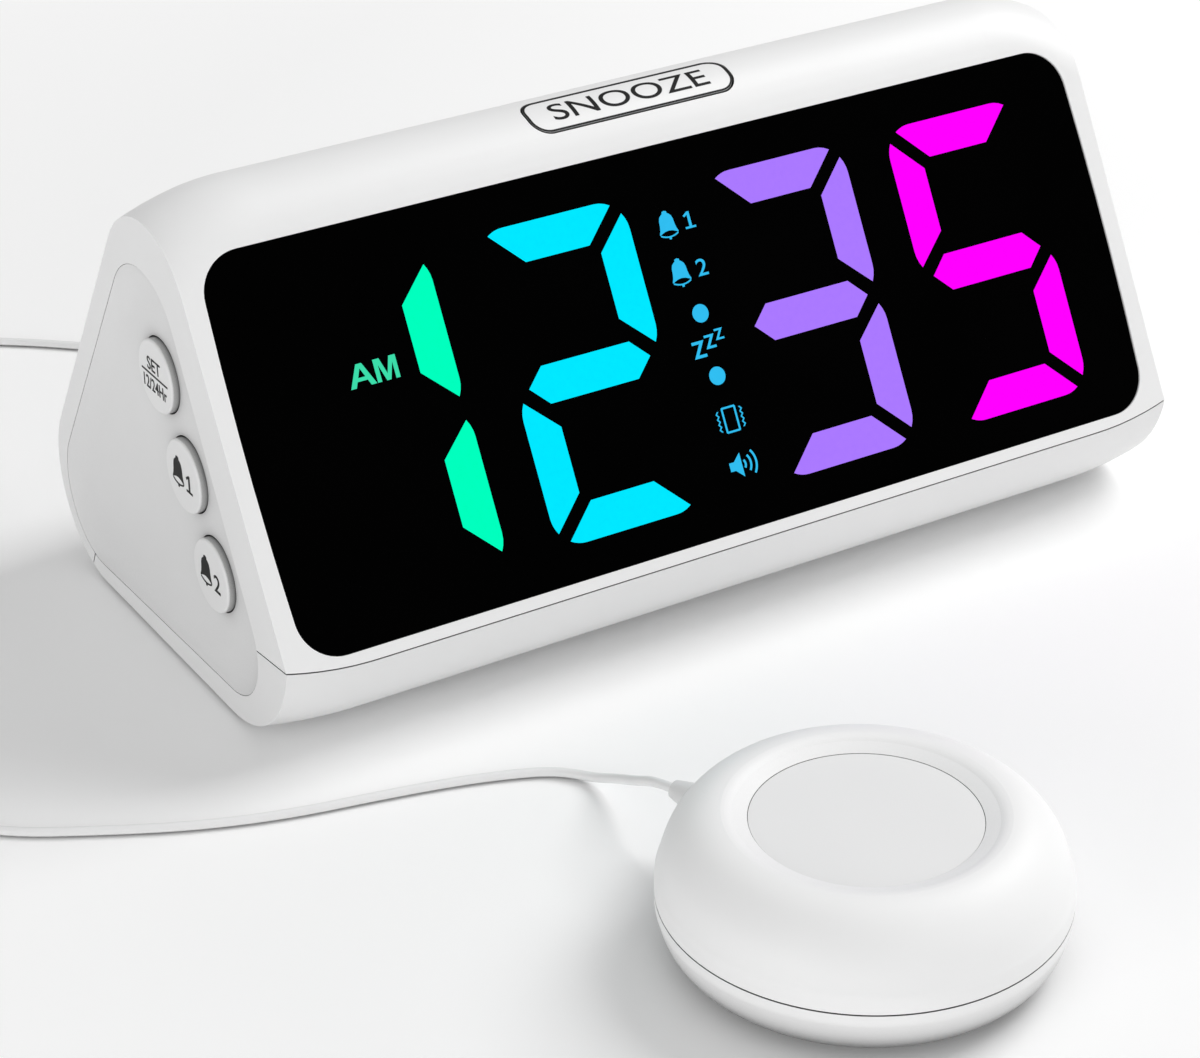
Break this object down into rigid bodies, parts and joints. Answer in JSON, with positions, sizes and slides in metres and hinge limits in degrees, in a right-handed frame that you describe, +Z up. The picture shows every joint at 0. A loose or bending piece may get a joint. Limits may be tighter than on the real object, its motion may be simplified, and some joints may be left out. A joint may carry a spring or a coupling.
{
  "type": "bed shaker alarm clock",
  "caption": "Wedge-shaped digital alarm clock with a large leaning display, a snooze key on top and buttons in its ends, and a round shaker puck on a thin cord.",
  "frame": {"origin": "on the table, at the middle of the ground that the clock and its shaker puck span", "axes": "+X along the display to its right, -Y the way the display faces, +Z up"},
  "size_m": [0.2677, 0.3303, 0.095],
  "materials": {
    "white_plastic": "satin white moulding",
    "tray_plastic": "satin white moulding",
    "end_panel_plastic": "satin light grey moulding",
    "button_plastic": "satin white moulding",
    "display_black": "glossy black",
    "bar_green": "lit",
    "bar_cyan": "lit",
    "bar_violet": "lit",
    "bar_magenta": "lit",
    "icon_blue": "lit",
    "circuit_board": "solder resist",
    "black_plastic": "moulded black",
    "reflector_white": "matte white",
    "steel": "plated",
    "brass": "plain",
    "cone_paper": "pressed paper",
    "rubber_grey": "matte",
    "puck_white": "satin white moulding",
    "puck_disc_plastic": "fine matte",
    "cord_white": "soft white jacket",
    "gland_grey": "soft grey"
  },
  "bodies": {
    "clock": {"backup_cell": "steel", "base_feet": "rubber_grey", "base_screws": "steel", "base_tray": "tray_plastic", "battery_door": "tray_plastic", "battery_screw": "steel", "board_screws": "steel", "clamp_screws": "steel", "colon_dots": "icon_blue", "cord_coil": "cord_white", "cord_front": "cord_white", "cord_gland": "gland_grey", "cord_plug": "cord_white", "cord_rear": "cord_white", "dc_jack": "black_plastic", "digit_1_bars": "bar_green", "digit_2_bars": "bar_cyan", "digit_3_bars": "bar_violet", "digit_4_bars": "bar_magenta", "display_board": "circuit_board", "display_screws": "steel", "display_window": "display_black", "end_panel_left": "end_panel_plastic", "end_panel_right": "end_panel_plastic", "housing": "white_plastic", "led_reflector": "reflector_white", "main_board": "circuit_board", "main_chips": "black_plastic", "motor_clamp": "steel", "plug_pin": "brass", "puck_bottom_shell": "puck_white", "puck_disc": "puck_disc_plastic", "puck_motor": "steel", "puck_pad": "rubber_grey", "puck_screws": "steel", "puck_top_shell": "puck_white", "shaker_jack": "black_plastic", "side_board_left": "circuit_board", "side_board_right": "circuit_board", "side_screws_left": "steel", "side_screws_right": "steel", "side_switches_left": "black_plastic", "side_switches_right": "black_plastic", "snooze_board": "circuit_board", "snooze_screws": "steel", "snooze_switch": "black_plastic", "speaker_cone": "cone_paper", "speaker_frame": "steel", "speaker_magnet": "steel", "speaker_screws": "steel"},
    "snooze": {"snooze_key": "button_plastic"},
    "set_key": {"set_button": "button_plastic"},
    "alarm_1_key": {"alarm_1_button": "button_plastic"},
    "alarm_2_key": {"alarm_2_button": "button_plastic"},
    "plus_key": {"plus_button": "button_plastic"},
    "minus_key": {"minus_button": "button_plastic"},
    "light_key": {"light_button": "button_plastic"},
    "spinner": {"motor_shaft": "steel", "eccentric_weight": "brass"}
  },
  "joints": [
    {"name": "snooze_press", "type": "slide", "parent": "clock", "child": "snooze", "axis": [0, 0.2924, -0.9563], "range_m": [0, 0.0008], "stiffness_N_per_m": 600},
    {"name": "set_press", "type": "slide", "parent": "clock", "child": "set_key", "axis": [1, 0, 0], "range_m": [0, 0.0005], "stiffness_N_per_m": 600},
    {"name": "alarm_1_press", "type": "slide", "parent": "clock", "child": "alarm_1_key", "axis": [1, 0, 0], "range_m": [0, 0.0005], "stiffness_N_per_m": 600},
    {"name": "alarm_2_press", "type": "slide", "parent": "clock", "child": "alarm_2_key", "axis": [1, 0, 0], "range_m": [0, 0.0005], "stiffness_N_per_m": 600},
    {"name": "plus_press", "type": "slide", "parent": "clock", "child": "plus_key", "axis": [-1, 0, 0], "range_m": [0, 0.0005], "stiffness_N_per_m": 600},
    {"name": "minus_press", "type": "slide", "parent": "clock", "child": "minus_key", "axis": [-1, 0, 0], "range_m": [0, 0.0005], "stiffness_N_per_m": 600},
    {"name": "light_press", "type": "slide", "parent": "clock", "child": "light_key", "axis": [-1, 0, 0], "range_m": [0, 0.0005], "stiffness_N_per_m": 600},
    {"name": "weight_spin", "type": "hinge", "parent": "clock", "child": "spinner", "pos_m": [-0.0422, -0.0817, 0.012], "axis": [0.866, 0.5, 0], "continuous": true}
  ]
}
